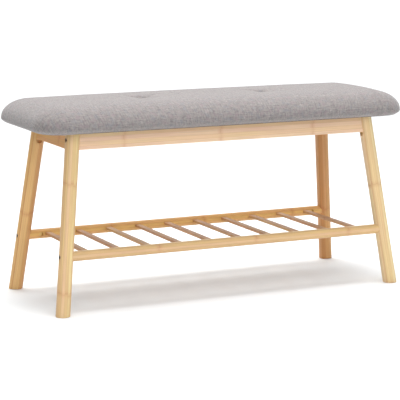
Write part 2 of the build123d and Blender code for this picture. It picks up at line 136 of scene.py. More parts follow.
class Finish:
    """One material's node tree, with short calls for the nodes that the finishes share."""

    def __init__(self, name):
        self.material = bpy.data.materials.new(name)
        self.material.use_nodes = True
        self.tree = self.material.node_tree
        self.surface = self.tree.nodes["Principled BSDF"]

    def node(self, kind, inputs=(), **settings):
        made = self.tree.nodes.new("ShaderNode" + kind)
        for key, value in settings.items():
            setattr(made, key, value)
        for place, value in dict(inputs).items():
            self.plug(made.inputs[place], value)
        return made

    def plug(self, socket, value):
        if isinstance(value, bpy.types.NodeSocket):
            self.tree.links.new(value, socket)
        else:
            socket.default_value = value

    def math(self, operation, *values):
        return self.node("Math", enumerate(values), operation=operation).outputs[0]

    def dot(self, first, second):
        return self.node("VectorMath", {0: first, 1: second}, operation="DOT_PRODUCT").outputs["Value"]

    def split(self, vector):
        return self.node("SeparateXYZ", {0: vector}).outputs[:]

    def join(self, x=0.0, y=0.0, z=0.0):
        return self.node("CombineXYZ", {0: x, 1: y, 2: z}).outputs[0]

    def place(self):
        return self.node("TexCoord").outputs["Object"]

    def local(self, origin, axes):
        """Object coordinates seen from a piece's own origin and axes."""
        return self.node(
            "Mapping",
            {"Vector": self.place(), "Location": origin, "Rotation": axes.to_euler()},
            vector_type="TEXTURE",
        ).outputs[0]

    def noise(self, vector, scale, detail=2.0, roughness=0.5):
        inputs = {"Vector": vector, "Scale": scale, "Detail": detail, "Roughness": roughness}
        return self.node("TexNoise", inputs).outputs[0]

    def white(self, vector):
        """A random number, and a random colour, for each whole-number place."""
        return self.node("TexWhiteNoise", {"Vector": vector}, noise_dimensions="3D").outputs

    def cells(self, vector, scale):
        return self.node("TexVoronoi", {"Vector": vector, "Scale": scale}).outputs["Distance"]

    def step(self, value, start, end, low=0.0, high=1.0):
        """low up to start, high from end, and a smooth change between."""
        inputs = {0: value, 1: start, 2: end, 3: low, 4: high}
        return self.node("MapRange", inputs, interpolation_type="SMOOTHSTEP").outputs[0]

    def ramp(self, value, stops):
        made = self.node("ValToRGB", {0: value})
        elements = made.color_ramp.elements
        while len(elements) < len(stops):
            elements.new(0.5)
        for element, (place, colour) in zip(elements, stops):
            element.position = place
            element.color = (*colour, 1.0)
        return made.outputs[0]

    def mix(self, share, first, second, blend="MIX"):
        made = self.node("Mix", {0: share}, data_type="RGBA", blend_type=blend)
        for socket, value in ((made.inputs[6], first), (made.inputs[7], second)):
            self.plug(socket, value if isinstance(value, bpy.types.NodeSocket) else (*value, 1.0))
        return made.outputs[2]

    def shade(self, colour, amount):
        """The colour times a grey amount."""
        return self.mix(1.0, colour, self.join(amount, amount, amount), "MULTIPLY")

    def bump(self, height, distance, strength=1.0):
        inputs = {"Height": height, "Distance": distance, "Strength": strength}
        self.plug(self.surface.inputs["Normal"], self.node("Bump", inputs).outputs[0])

    def set(self, **values):
        for name, value in values.items():
            self.plug(self.surface.inputs[name.replace("_", " ")], value)


def linear(red, green, blue):
    """A colour given in 8-bit sRGB, as the linear numbers that Blender takes."""
    levels = [value / 255 for value in (red, green, blue)]
    return tuple(v / 12.92 if v <= 0.04045 else ((v + 0.055) / 1.055) ** 2.4 for v in levels)


# ---------------------------------------------------------------- finishes

BAMBOO_TONES = (
    (0.00, linear(196, 148, 98)),
    (0.22, linear(204, 158, 112)),
    (0.42, linear(210, 172, 116)),
    (0.60, linear(208, 162, 122)),
    (0.80, linear(216, 182, 130)),
    (1.00, linear(198, 152, 100)),
)

# Painted light and shade for each piece, as a factor on the bamboo colours: legs in the order of front left,
# front right, rear left and rear right. The front legs, the long aprons and the front rail are painted
# paler, as painted light; the rear legs, the side aprons, the rear rail and the slats are painted darker, as
# painted shade.
LEG_PAINTED_LIGHT_AND_SHADE = ((1.05, 1.22, 1.30), (1.06, 1.24, 1.44), (0.97, 0.89, 0.76), (0.91, 0.78, 0.63))
LONG_APRON_PAINTED_LIGHT = (1.11, 1.25, 1.63)
SIDE_APRON_PAINTED_SHADE = (1.04, 0.86, 0.50)
RAIL_PAINTED_LIGHT_AND_SHADE = {"front": (0.95, 1.01, 1.10), "rear": (1.04, 0.96, 0.68)}
SLAT_PAINTED_SHADE = (0.78, 0.66, 0.52)

# The strips' width and depth in each kind of member.
LEG_STRIP = (0.0065, 0.0165)
APRON_STRIP = (0.0095, 0.0075)
RAIL_STRIP = (0.0062, 0.012)
SLAT_STRIP = (0.0052, 0.0064)

BAMBOO_KNUCKLE = linear(190, 132, 92)
BAMBOO_KNUCKLE_LINE = linear(160, 106, 66)
BAMBOO_GLUE = linear(168, 118, 74)
BAMBOO_END = linear(178, 128, 82)


def bamboo(name, origin, along, facing, strip, knuckle_at, knuckle_every, seed, tint):
    """Laminated bamboo: strips of strip = (width, depth) glued side by side, with their knuckles, fibres
    and glue lines. The grain runs along one direction, and the strips' joints face another. The tint is a
    factor on every colour, which paints light and shade onto the piece: paler where it stands for light,
    darker where it stands for shade."""
    along = Vector(along).normalized()
    across = Vector(facing).cross(along).normalized()
    axes = Matrix((along, across, along.cross(across))).transposed()
    f = Finish(name)
    u, v, w = f.split(f.local(origin, axes))
    lane_v = f.math("ADD", f.math("DIVIDE", v, strip[0]), 0.5 + 0.13 * seed)
    lane_w = f.math("ADD", f.math("DIVIDE", w, strip[1]), 0.5)
    cell_v, cell_w = f.math("FLOOR", lane_v), f.math("FLOOR", lane_w)
    luck, lucks = f.white(f.join(cell_v, cell_w, seed))[:2]
    luck_a, luck_b, _ = f.split(lucks)

    # Slow colour along each strip, then streaks and fine fibres.
    slow = f.noise(f.join(f.math("MULTIPLY", u, 5.0), cell_v, f.math("ADD", cell_w, seed * 7.3)), 1.0)
    tone = f.math("ADD", f.math("MULTIPLY", luck, 0.8), f.math("MULTIPLY", slow, 0.35))
    colour = f.ramp(f.math("SUBTRACT", tone, 0.08), BAMBOO_TONES)
    streak = f.noise(f.join(f.math("MULTIPLY", u, 7.0), f.math("MULTIPLY", v, 520.0),
                            f.math("MULTIPLY", w, 520.0)), 1.0, 3.0, 0.6)
    fibre = f.noise(f.join(f.math("MULTIPLY", u, 40.0), f.math("MULTIPLY", v, 2600.0),
                           f.math("MULTIPLY", w, 2600.0)), 1.0, 2.0, 0.6)
    colour = f.shade(colour, f.step(streak, 0.25, 0.75, 0.90, 1.07))
    colour = f.shade(colour, f.step(fibre, 0.25, 0.75, 0.95, 1.03))

    # Knuckles: a soft warm band with a faint ring in it, a little out of step from strip to strip.
    turn = f.math("ADD", f.math("DIVIDE", f.math("SUBTRACT", u, knuckle_at), knuckle_every), 0.5)
    turn = f.math("ADD", turn, f.math("MULTIPLY", f.math("SUBTRACT", luck_a, 0.5), 0.03))
    away = f.math("SUBTRACT", f.math("FRACT", turn), 0.5)
    wander = f.noise(f.join(f.math("MULTIPLY", v, 300.0), f.math("MULTIPLY", w, 300.0), cell_v), 1.0)
    away = f.math("ADD", f.math("MULTIPLY", away, knuckle_every), f.math("MULTIPLY", wander, 0.002))
    away = f.math("ABSOLUTE", f.math("SUBTRACT", away, 0.001))
    band = f.step(away, 0.0010, 0.0100, 1.0, 0.0)
    ring = f.step(away, 0.0004, 0.0022, 1.0, 0.0)
    clear = f.step(luck_b, 0.0, 1.0, 0.30, 0.80)
    colour = f.mix(f.math("MULTIPLY", band, f.math("MULTIPLY", clear, 0.60)), colour, BAMBOO_KNUCKLE)
    colour = f.mix(f.math("MULTIPLY", ring, f.math("MULTIPLY", clear, 0.28)), colour, BAMBOO_KNUCKLE_LINE)

    # Glue lines where two strips meet.
    edge_v = f.math("MULTIPLY", f.math("PINGPONG", lane_v, 0.5), strip[0])
    edge_w = f.math("MULTIPLY", f.math("PINGPONG", lane_w, 0.5), strip[1])
    joint = f.step(f.math("MINIMUM", edge_v, edge_w), 0.00008, 0.00028, 1.0, 0.0)
    colour = f.mix(f.math("MULTIPLY", joint, 0.55), colour, BAMBOO_GLUE)

    # End grain: the bundles of fibres show as dots.
    facing_end = f.math("ABSOLUTE", f.dot(f.node("NewGeometry").outputs["Normal"], along))
    at_end = f.step(facing_end, 0.86, 0.93)
    dots = f.step(f.cells(f.join(v, w, 0.0), 1500.0), 0.25, 0.5, 0.62, 1.0)
    colour = f.mix(at_end, colour, f.shade(f.mix(0.5, colour, BAMBOO_END), dots))

    # Painted light and shade: the piece's factor makes it paler where it stands for light and darker where
    # it stands for shade.
    colour = f.mix(1.0, colour, tint, "MULTIPLY")
    f.set(Base_Color=colour, Roughness=f.step(streak, 0.2, 0.8, 0.40, 0.54), IOR=1.48)
    f.set(Specular_IOR_Level=0.35, Coat_Weight=0.06, Coat_Roughness=0.25)
    height = f.math("ADD", f.math("MULTIPLY", fibre, 0.5), f.math("MULTIPLY", streak, 0.5))
    height = f.math("ADD", height, f.math("MULTIPLY", band, 0.8))
    height = f.math("SUBTRACT", height, f.math("MULTIPLY", joint, 0.9))
    f.bump(height, 0.00006)
    return f.material


LINEN_TONES = (
    (0.00, linear(91, 85, 86)),
    (0.28, linear(114, 108, 108)),
    (0.50, linear(130, 125, 123)),
    (0.72, linear(143, 138, 134)),
    (1.00, linear(159, 155, 149)),
)
LINEN_ROSE = linear(138, 124, 128)
LINEN_BLUE = linear(122, 122, 132)
THREAD = 0.00115


def linen(name):
    """Melange linen weave. It follows the cloth attribute, the place of each point on the flat cloth."""
    f = Finish(name)
    cloth = f.node("Attribute", attribute_name="cloth").outputs["Vector"]
    s, t, _ = f.split(cloth)
    lane_s, lane_t = f.math("DIVIDE", s, THREAD), f.math("DIVIDE", t, THREAD)
    wave_s = f.math("SINE", f.math("MULTIPLY", lane_s, math.pi))
    wave_t = f.math("SINE", f.math("MULTIPLY", lane_t, math.pi))
    over = f.step(f.math("MULTIPLY", wave_s, wave_t), -0.25, 0.25)
    warp_id, weft_id = f.math("FLOOR", lane_s), f.math("FLOOR", lane_t)

    def thread(number, other, seed):
        """Tone of one family of threads: its own shade, with thick and thin spots along it."""
        own = f.white(f.join(number, seed, 0.0))[0]
        spots = f.noise(f.join(f.math("MULTIPLY", number, 3.7), f.math("MULTIPLY", other, 170.0), seed), 1.0,
                        2.0, 0.6)
        return f.math("ADD", f.math("MULTIPLY", own, 0.16), f.math("MULTIPLY", spots, 0.90))

    warp, weft = thread(warp_id, t, 2.0), thread(weft_id, s, 9.0)
    tone = f.math("ADD", f.math("MULTIPLY", over, f.math("SUBTRACT", warp, weft)), weft)
    cloudy = f.noise(f.join(f.math("MULTIPLY", s, 190.0), f.math("MULTIPLY", t, 230.0), 0.0), 1.0, 3.0, 0.65)
    weft_streaks = f.noise(f.join(f.math("MULTIPLY", s, 55.0), f.math("MULTIPLY", t, 330.0), 4.0), 1.0,
                           2.0, 0.6)
    warp_streaks = f.noise(f.join(f.math("MULTIPLY", s, 330.0), f.math("MULTIPLY", t, 55.0), 7.0), 1.0,
                           2.0, 0.6)
    streaky = f.math("ADD", weft_streaks, warp_streaks)
    tone = f.math("ADD", tone, f.math("MULTIPLY", f.math("SUBTRACT", cloudy, 0.5), 0.80))
    tone = f.math("ADD", tone, f.math("MULTIPLY", f.math("SUBTRACT", streaky, 1.0), 0.85))
    colour = f.ramp(tone, LINEN_TONES)
    patch = f.noise(f.join(f.math("MULTIPLY", s, 95.0), f.math("MULTIPLY", t, 95.0), 11.0), 1.0, 2.0, 0.6)
    colour = f.mix(f.step(patch, 0.48, 0.70, 0.0, 0.65), colour, LINEN_ROSE)
    colour = f.mix(f.step(patch, 0.5, 0.32, 0.0, 0.38), colour, LINEN_BLUE)

    round_s = f.math("POWER", f.math("ABSOLUTE", wave_s), 0.6)
    round_t = f.math("POWER", f.math("ABSOLUTE", wave_t), 0.6)
    under = f.math("SUBTRACT", 1.0, over)
    high_s = f.math("MULTIPLY", round_s, f.math("MULTIPLY_ADD", over, 0.45, 0.55))
    high_t = f.math("MULTIPLY", round_t, f.math("MULTIPLY_ADD", under, 0.45, 0.55))
    height = f.math("MAXIMUM", high_s, high_t)
    # Painted shade in the weave: darker where the threads dip under, with a faint painted highlight on their
    # crowns.
    colour = f.shade(colour, f.step(height, 0.35, 0.8, 0.80, 1.02))
    slub = f.math("MULTIPLY", f.math("SUBTRACT", tone, 0.5), 0.4)
    f.set(Base_Color=colour, Roughness=0.92, Sheen_Weight=0.25, Sheen_Roughness=0.5)
    f.set(Specular_IOR_Level=0.22)
    f.bump(f.math("ADD", height, slub), 0.00022, 0.8)
    return f.material


def non_woven(name):
    """Black spun-bonded sheet: crossing fibres, pressed together in a grid of small dots."""
    f = Finish(name)
    place = f.place()
    x, y, _ = f.split(place)
    bent = f.noise(place, 60.0, 2.0)
    first = f.noise(f.join(f.math("MULTIPLY", f.math("ADD", x, y), 900.0),
                           f.math("MULTIPLY", f.math("SUBTRACT", x, y), 70.0), bent), 1.0, 3.0, 0.6)
    second = f.noise(f.join(f.math("MULTIPLY", f.math("ADD", x, y), 60.0),
                            f.math("MULTIPLY", f.math("SUBTRACT", x, y), 1000.0), bent), 1.0, 3.0, 0.6)
    fibres = f.math("MAXIMUM", first, second)
    dots = f.math("MULTIPLY", f.math("SINE", f.math("MULTIPLY", x, 2500.0)),
                  f.math("SINE", f.math("MULTIPLY", y, 2500.0)))
    bond = f.step(dots, 0.25, 0.6)
    colour = f.ramp(fibres, ((0.3, linear(36, 36, 39)), (0.55, linear(54, 54, 58)),
                             (0.8, linear(80, 80, 84))))
    f.set(Base_Color=f.mix(f.math("MULTIPLY", bond, 0.7), colour, linear(30, 30, 33)))
    f.set(Roughness=f.step(bond, 0.0, 1.0, 0.86, 0.55), Sheen_Weight=0.12)
    f.bump(f.math("SUBTRACT", fibres, f.math("MULTIPLY", bond, 0.6)), 0.00015, 0.7)
    return f.material


def plywood(name, low, high):
    """Sanded plywood: long grain on the faces, and the plies' bands at the edge."""
    f = Finish(name)
    x, y, z = f.split(f.place())
    grain = f.noise(f.join(f.math("MULTIPLY", x, 6.0), f.math("MULTIPLY", y, 160.0), z), 1.0, 4.0, 0.62)
    figure = f.noise(f.join(f.math("MULTIPLY", x, 1.6), f.math("MULTIPLY", y, 14.0), 3.0), 1.0, 3.0, 0.5)
    face = f.ramp(f.math("MULTIPLY_ADD", figure, 0.5, f.math("MULTIPLY", grain, 0.5)), (
        (0.25, linear(196, 160, 118)), (0.5, linear(217, 184, 141)), (0.75, linear(231, 203, 163))))
    ply = (high.z - low.z) / 7
    count = f.math("DIVIDE", f.math("SUBTRACT", z, low.z), ply)
    dark = f.math("MODULO", f.math("FLOOR", count), 2.0)
    edge = f.mix(dark, linear(214, 178, 132), linear(160, 116, 76))
    upright = f.math("ABSOLUTE", f.split(f.node("NewGeometry").outputs["Normal"])[2])
    f.set(Base_Color=f.mix(f.step(upright, 0.4, 0.7), edge, face))
    f.set(Roughness=f.step(grain, 0.2, 0.8, 0.62, 0.8))
    f.bump(grain, 0.0001)
    return f.material


def turned_wood(name):
    """Bare beech with its short dark flecks."""
    f = Finish(name)
    x, y, z = f.split(f.place())
    grain = f.noise(f.join(f.math("MULTIPLY", x, 900.0), f.math("MULTIPLY", y, 40.0),
                           f.math("MULTIPLY", z, 900.0)), 1.0, 3.0, 0.6)
    fleck = f.step(f.cells(f.join(f.math("MULTIPLY", x, 4.0), f.math("MULTIPLY", y, 1.0), z), 700.0),
                   0.1, 0.3, 1.0, 0.0)
    colour = f.ramp(grain, ((0.3, linear(196, 156, 114)), (0.7, linear(226, 190, 150))))
    f.set(Base_Color=f.mix(f.math("MULTIPLY", fleck, 0.35), colour, linear(150, 106, 70)))
    f.set(Roughness=f.step(grain, 0.2, 0.8, 0.58, 0.75))
    f.bump(grain, 0.00008)
    return f.material


CLEAR_ZINC = (linear(186, 192, 202), linear(204, 205, 204), linear(214, 208, 186))
YELLOW_ZINC = (linear(206, 168, 104), linear(214, 180, 118), linear(196, 158, 110))


def zinc(name, tones):
    """Zinc plating: fine brushing, faint spangle, and its passivation's slow change of colour."""
    f = Finish(name)
    place = f.place()
    x, y, z = f.split(place)
    brushed = f.noise(f.join(f.math("MULTIPLY", x, 300.0), f.math("MULTIPLY", y, 4000.0),
                             f.math("MULTIPLY", z, 4000.0)), 1.0, 3.0, 0.7)
    spangle = f.cells(place, 320.0)
    tint = f.noise(place, 45.0, 3.0)
    colour = f.ramp(tint, tuple(zip((0.3, 0.5, 0.72), tones)))
    f.set(Base_Color=f.shade(colour, f.step(spangle, 0.2, 0.8, 1.0, 0.86)), Metallic=1.0)
    f.set(Roughness=f.step(brushed, 0.2, 0.8, 0.26, 0.46))
    f.bump(brushed, 0.00002)
    return f.material


def black_oxide(name):
    """Black-oxide steel: near black, oily, with bare metal worn through in specks."""
    f = Finish(name)
    place = f.place()
    film = f.noise(place, 500.0, 4.0, 0.65)
    worn = f.step(f.noise(place, 1400.0, 3.0, 0.7), 0.62, 0.72)
    colour = f.mix(f.math("MULTIPLY", worn, 0.4), f.ramp(film, ((0.3, linear(26, 26, 29)),
                                                               (0.7, linear(48, 47, 50)))),
                   linear(120, 118, 116))
    f.set(Base_Color=colour, Metallic=0.85, Roughness=f.step(film, 0.2, 0.8, 0.32, 0.52))
    f.bump(film, 0.00003)
    return f.material


def nylon(name):
    """Moulded nylon: slightly waxy, with a fine spark-eroded grain."""
    f = Finish(name)
    grain = f.noise(f.place(), 2600.0, 3.0, 0.6)
    flow = f.noise(f.place(), 120.0, 2.0)
    f.set(Base_Color=f.ramp(flow, ((0.3, linear(222, 221, 215)), (0.7, linear(236, 235, 230)))))
    f.set(Roughness=f.step(grain, 0.2, 0.8, 0.42, 0.58), Subsurface_Weight=0.1, Subsurface_Scale=0.002)
    f.bump(grain, 0.00004)
    return f.material


def cord(name):
    """Twisted nylon cord: its strands wind round as slanting ridges."""
    f = Finish(name)
    x, y, z = f.split(f.place())
    angle = f.math("ARCTAN2", y, f.math("SUBTRACT", f.math("ABSOLUTE", x), TUFT_SPOTS[1][0]))
    twist = f.math("SINE", f.math("MULTIPLY_ADD", angle, 3.0, f.math("MULTIPLY", z, 3200.0)))
    fuzz = f.noise(f.place(), 3000.0, 2.0)
    # The colour follows the twist: painted shade in the grooves between the strands and lighter ridges, with
    # the fuzz as random tone.
    f.set(Base_Color=f.ramp(f.math("MULTIPLY_ADD", twist, 0.4, fuzz), (
        (0.2, linear(180, 177, 172)), (0.7, linear(225, 222, 217)))))
    f.set(Roughness=f.step(fuzz, 0.2, 0.8, 0.6, 0.8))
    f.bump(twist, 0.0002)
    return f.material


def floor_finish(name):
    """Pale studio floor with a trace of unevenness."""
    f = Finish(name)
    mottle = f.noise(f.place(), 3.0, 3.0)
    f.set(Base_Color=f.ramp(mottle, ((0.3, (0.88, 0.90, 0.912)), (0.7, (0.91, 0.93, 0.942)))))
    f.set(Roughness=f.step(mottle, 0.2, 0.8, 0.7, 0.8), Specular_IOR_Level=0.2)
    return f.material


# ---------------------------------------------------------------- CAD nodes


def wear(node, material):
    """Gives a CAD node its finish through its material slots."""
    for place in NODES[node].material_slots:
        place.material = material


def finish_frame():
    """Bamboo for the frame's members, each with its own grain direction, knuckles and seed, and its own
    factor of painted light and shade.
    """
    rows, sides = (("front", -1), ("rear", 1)), (("left", -1), ("right", 1))
    legs = [(row, side, sx, sy) for row, sy in rows for side, sx in sides]
    for number, (row, side, sx, sy) in enumerate(legs):
        foot = Vector((sx * LEG_FOOT.x, sy * LEG_FOOT.y, 0))
        top = Vector((sx * LEG_TOP.x, sy * LEG_TOP.y, LEG_TOP.z))
        wear(f"leg_{row}_{side}", bamboo(f"bamboo_leg_{row}_{side}", foot, top - foot, (0, 1, 0), LEG_STRIP,
                                         0.283 - 0.05 * number, 0.235, 1 + number, LEG_PAINTED_LIGHT_AND_SHADE[number]))
    for row, sy in rows:
        low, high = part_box(f"apron_{row}")
        face = Vector((0, sy * UNDERSIDE, LEG_FOOT.y - LEG_TOP.y))
        wear(f"apron_{row}", bamboo(f"bamboo_apron_{row}", (low + high) / 2, (1, 0, 0), face, APRON_STRIP,
                                    -0.012, 0.2325, 6 + sy, LONG_APRON_PAINTED_LIGHT))
    for side, sx in sides:
        low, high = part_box(f"apron_{side}")
        face = Vector((sx * UNDERSIDE, 0, LEG_FOOT.x - LEG_TOP.x))
        wear(f"apron_{side}", bamboo(f"bamboo_apron_{side}", (low + high) / 2, (0, 1, 0), face, APRON_STRIP,
                                     0.045 * sx, 0.24, 12 + sx, SIDE_APRON_PAINTED_SHADE))
    for row, seed in (("front", 16), ("rear", 17)):
        node = f"shelf_rail_{row}"
        low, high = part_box(node)
        wear(node, bamboo(f"bamboo_{node}", (low + high) / 2, (1, 0, 0), (0, 1, 0), RAIL_STRIP,
                          0.06, 0.238, seed, RAIL_PAINTED_LIGHT_AND_SHADE[row]))
    for number in range(1, 11):
        node = f"slat_{number:02d}"
        low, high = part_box(node)
        wear(node, bamboo(f"bamboo_{node}", (low + high) / 2, (0, 1, 0), (0, 0, 1), SLAT_STRIP,
                          0.09 - 0.033 * number, 0.26, 20 + number, SLAT_PAINTED_SHADE))


def finish_fittings():
    """Everything that isn't bamboo or upholstery."""
    steel = zinc("zinc_plated_steel", CLEAR_ZINC)
    for node in NODES:
        if node.startswith("seat_bracket") or node in ("bracket_screws", "cover_staples"):
            wear(node, steel)
    wear("barrel_nuts", zinc("yellow_zinc_steel", YELLOW_ZINC))
    wear("frame_bolts", black_oxide("black_oxide_steel"))
    wear("side_apron_dowels", turned_wood("bare_beech"))
    wear("seat_board", plywood("sanded_plywood", BOARD_LOW, BOARD_HIGH))
    wear("tuft_anchors", nylon("moulded_nylon"))
    wear("tuft_ties", cord("twisted_cord"))


# ---------------------------------------------------------------- seat form


def steps_between(start, end, fine_spots):
    """Places from start to end, close together near each fine spot and wide apart elsewhere."""
    places, here = [start], start
    while here < end:
        near = any(abs(here - spot) < FINE_REACH for spot in fine_spots)
        here += FINE_STEP if near else COARSE_STEP
        places.append(here)
    scale = (end - start) / (places[-1] - start)
    return [start + (place - start) * scale for place in places]


def share(values):
    """The same places as shares from -1 to 1."""
    return [2 * (value - values[0]) / (values[-1] - values[0]) - 1 for value in values]


ALONG = share(steps_between(-SIDE_SPAN, SIDE_SPAN, [x for x, _ in TUFT_SPOTS]))
ACROSS = share(steps_between(-END_SPAN, END_SPAN, [y for _, y in TUFT_SPOTS]))


def corner_radius(inset):
    """The corners of the top's outlines, which get tighter towards the top's rim."""
    return max(CORNER_RADIUS - CORNER_TIGHTENING * inset, TIGHTEST_CORNER)


def outline(inset, radius):
    """One closed outline of the seat in plan, its four sides as lists of (x, y), each from the middle of
    one corner to the middle of the next. Every inset gives the same number of points."""
    half_x, half_y = SEAT_LENGTH - inset, SEAT_DEPTH - inset
    flat_x, flat_y = half_x - radius, half_y - radius
    half = CORNER_STEPS // 2

    def arc(centre, start):
        angles = [math.radians(start + 45 * k / half) for k in range(half + 1)]
        return [(centre[0] + radius * math.cos(a), centre[1] + radius * math.sin(a)) for a in angles]

    front = arc((-flat_x, -flat_y), 225)[:-1]
    front += [(flat_x * u, -half_y) for u in ALONG]
    front += arc((flat_x, -flat_y), 270)[1:]
    right = arc((flat_x, -flat_y), 315)[:-1]
    right += [(half_x, flat_y * u) for u in ACROSS]
    right += arc((flat_x, flat_y), 0)[1:]
    rear = [(-x, -y) for x, y in front]
    left = [(-x, -y) for x, y in right]
    return front, right, rear, left


def loop(sides):
    """The outline's points in order, each corner's middle once."""
    return [point for side in sides for point in side[:-1]]


def patch(sides):
    """A grid that fills the outline, blended in from its four sides."""
    front, right, rear, left = sides
    rear, left = rear[::-1], left[::-1]
    n, m = len(front) - 1, len(right) - 1
    grid = []
    for i in range(n + 1):
        u = i / n
        column = []
        for j in range(m + 1):
            v = j / m
            point = []
            for k in (0, 1):
                ruled = (1 - v) * front[i][k] + v * rear[i][k] + (1 - u) * left[j][k] + u * right[j][k]
                corners = ((1 - u) * (1 - v) * front[0][k] + u * (1 - v) * front[n][k]
                           + (1 - u) * v * rear[0][k] + u * v * rear[n][k])
                point.append(ruled - corners)
            column.append(tuple(point))
        grid.append(column)
    return grid


def crown(x, y):
    return CROWN_ALONG * (1 - (x / SEAT_LENGTH) ** 2) + CROWN_ACROSS * (1 - (y / SEAT_DEPTH) ** 2)


def shoulder_point(point, turn):
    """A point of the top's rounded shoulder; turn goes from a quarter turn at the top to 0 at the side."""
    x, y = point
    rise = (SHOULDER_LEVEL - WIDEST_LEVEL + crown(x, y)) * max(0.0, math.sin(turn)) ** SHOULDER_FULLNESS
    pull = SIDE_PULL_IN * math.cos(turn) * max(0.0, math.cos(math.pi * x / 2 / SEAT_LENGTH)) ** 2
    return Vector((x, y - math.copysign(pull, y) * min(1.0, abs(y) / SEAT_DEPTH),
                   UNDERSIDE + WIDEST_LEVEL + rise))


def roll_lift(x):
    """How far above the hem the cover's roll ends. It hangs a little lower at the corners."""
    beside = min(1.0, max(0.0, (LIFT_FADE[0] - abs(x)) / LIFT_FADE[1]))
    return EDGE_LIFT + FRONT_LIFT * beside


def tuck_point(point, turn):
    """A point of the rounding under the widest level; turn goes from 0 to a quarter turn underneath."""
    x, y = point
    middle = max(0.0, math.cos(math.pi * x / 2 / SEAT_LENGTH)) ** 2
    pull = SIDE_PULL_IN * middle * math.cos(turn)
    bottom = HEM_LEVEL + roll_lift(x)
    return Vector((x, y - math.copysign(pull, y) * min(1.0, abs(y) / SEAT_DEPTH),
                   UNDERSIDE + bottom + (WIDEST_LEVEL - bottom) * (1 - turn / (math.pi / 2))))


class Skin:
    """The seat pad's mesh while it is laid out: its points, their places on the flat cloth, its faces."""

    def __init__(self):
        self.points, self.cloth, self.faces, self.held = [], [], [], []

    def add(self, point, cloth, held):
        self.points.append(Vector(point))
        self.cloth.append(cloth)
        self.held.append(held)
        return len(self.points) - 1

    def ring(self, points, outward, reach, held):
        """A ring of points, each set out on the cloth by its reach from the top's rim."""
        made = []
        for point, (rim, way), distance in zip(points, outward, reach):
            cloth = (rim[0] + way[0] * distance, rim[1] + way[1] * distance, 0.0)
            made.append(self.add(point, cloth, held))
        return made

    def band(self, inner, outer):
        count = len(inner)
        for k in range(count):
            n = (k + 1) % count
            self.faces.append((inner[k], outer[k], outer[n], inner[n]))

    def sheet(self, grid, rim, level, on_board):
        """Fills a ring with a grid. The ring's own points are the grid's rim. The sheet that lies on the
        board is held, and faces down."""
        n, m = len(grid) - 1, len(grid[0]) - 1
        around = {}
        spots = ([(i, 0) for i in range(n)] + [(n, j) for j in range(m)]
                 + [(i, m) for i in range(n, 0, -1)] + [(0, j) for j in range(m, 0, -1)])
        for spot, index in zip(spots, rim):
            around[spot] = index
        for i in range(1, n):
            for j in range(1, m):
                x, y = grid[i][j]
                around[(i, j)] = self.add((x, y, level(x, y)), (x, y, 0.0), on_board)
        for i in range(n):
            for j in range(m):
                face = (around[(i, j)], around[(i + 1, j)], around[(i + 1, j + 1)], around[(i, j + 1)])
                self.faces.append(face[::-1] if on_board else face)


def lay_out_pad():
    """The closed skin of the seat pad: the top, the shoulder, the tuck under the edge and the hem, then
    back over the hem and round the board that it is stretched over."""
    skin = Skin()
    rim_sides = outline(SHOULDER_WIDTH, corner_radius(SHOULDER_WIDTH))
    rim = loop(rim_sides)
    edge = loop(outline(0.0, CORNER_RADIUS))
    outward = []
    for inner, outer in zip(rim, edge):
        way = Vector(outer) - Vector(inner)
        outward.append((inner, tuple(way.normalized())))
    count = len(rim)
    reach = [0.0] * count
    rings, last = [], None

    def lay(points, held):
        nonlocal last, reach
        if last is not None:
            reach = [r + (a - b).length for r, a, b in zip(reach, points, last)]
        rings.append(skin.ring(points, outward, reach, held))
        last = points

    for k in range(SHOULDER_STEPS + 1):
        turn = math.pi / 2 * (1 - k / SHOULDER_STEPS)
        inset = SHOULDER_WIDTH * (1 - math.cos(turn))
        lay([shoulder_point(p, turn) for p in loop(outline(inset, corner_radius(inset)))], False)
    for k in range(1, ROLL_STEPS + 1):
        turn = math.pi / 2 * k / ROLL_STEPS
        inset = BOTTOM_TUCK * (1 - math.cos(turn))
        lay([tuck_point(p, turn) for p in loop(outline(inset, CORNER_RADIUS - inset))], k > 1)

    under = UNDERSIDE + HEM_LEVEL
    board_bottom = BOARD_LOW.z - BOARD_GAP
    board_top = BOARD_HIGH.z + BOARD_GAP
    inside = BOARD_INSET - BOARD_GAP
    for inset in ROLL_RINGS:
        ease = (LIFT_END - inset) / (LIFT_END - BOTTOM_TUCK)
        ring = loop(outline(inset, CORNER_RADIUS - inset))
        lay([Vector((x, y, under + roll_lift(x) * ease)) for x, y in ring], True)
    level_rings = [(inset, under) for inset in (LIFT_END, *HEM_RINGS, HEM_INSET - FOLD_BACK)]
    level_rings += [(HEM_INSET, board_bottom - FOLD_BACK / 2), (HEM_INSET - 2 * FOLD_BACK, board_bottom)]
    level_rings += [(inset, board_bottom) for inset in (BOARD_BOTTOM_RING, inside + BOARD_EDGE)]
    level_rings += [(inside, board_bottom + FOLD_BACK), (inside, board_top - BOARD_EDGE)]
    level_rings += [(inset, board_top) for inset in (inside + BOARD_EDGE, *BOARD_TOP_RINGS, SHOULDER_WIDTH)]
    for inset, level in level_rings:
        radius = max(CORNER_RADIUS - inset, TIGHTEST_UNDER_CORNER)
        lay([Vector((x, y, level)) for x, y in loop(outline(inset, radius))], True)

    skin.sheet(patch(rim_sides), rings[0], lambda x, y: UNDERSIDE + SHOULDER_LEVEL + crown(x, y), False)
    for inner, outer in zip(rings, rings[1:]):
        skin.band(inner, outer)
    radius = max(CORNER_RADIUS - SHOULDER_WIDTH, TIGHTEST_UNDER_CORNER)
    skin.sheet(patch(outline(SHOULDER_WIDTH, radius)), rings[-1], lambda x, y: board_top, True)
    return skin


def tuft_pit(x, y):
    """How far the tufts pull the top down at a place."""
    depth = 0.0
    for cx, cy in TUFT_SPOTS:
        away = math.hypot(x - cx, y - cy)
        reach = away / TUFT_BASIN[1]
        depth += TUFT_BASIN[0] * (1 + reach) * math.exp(-reach)
        depth += TUFT_PIT[0] * math.exp(-((away / TUFT_PIT[1]) ** 3))
    return depth


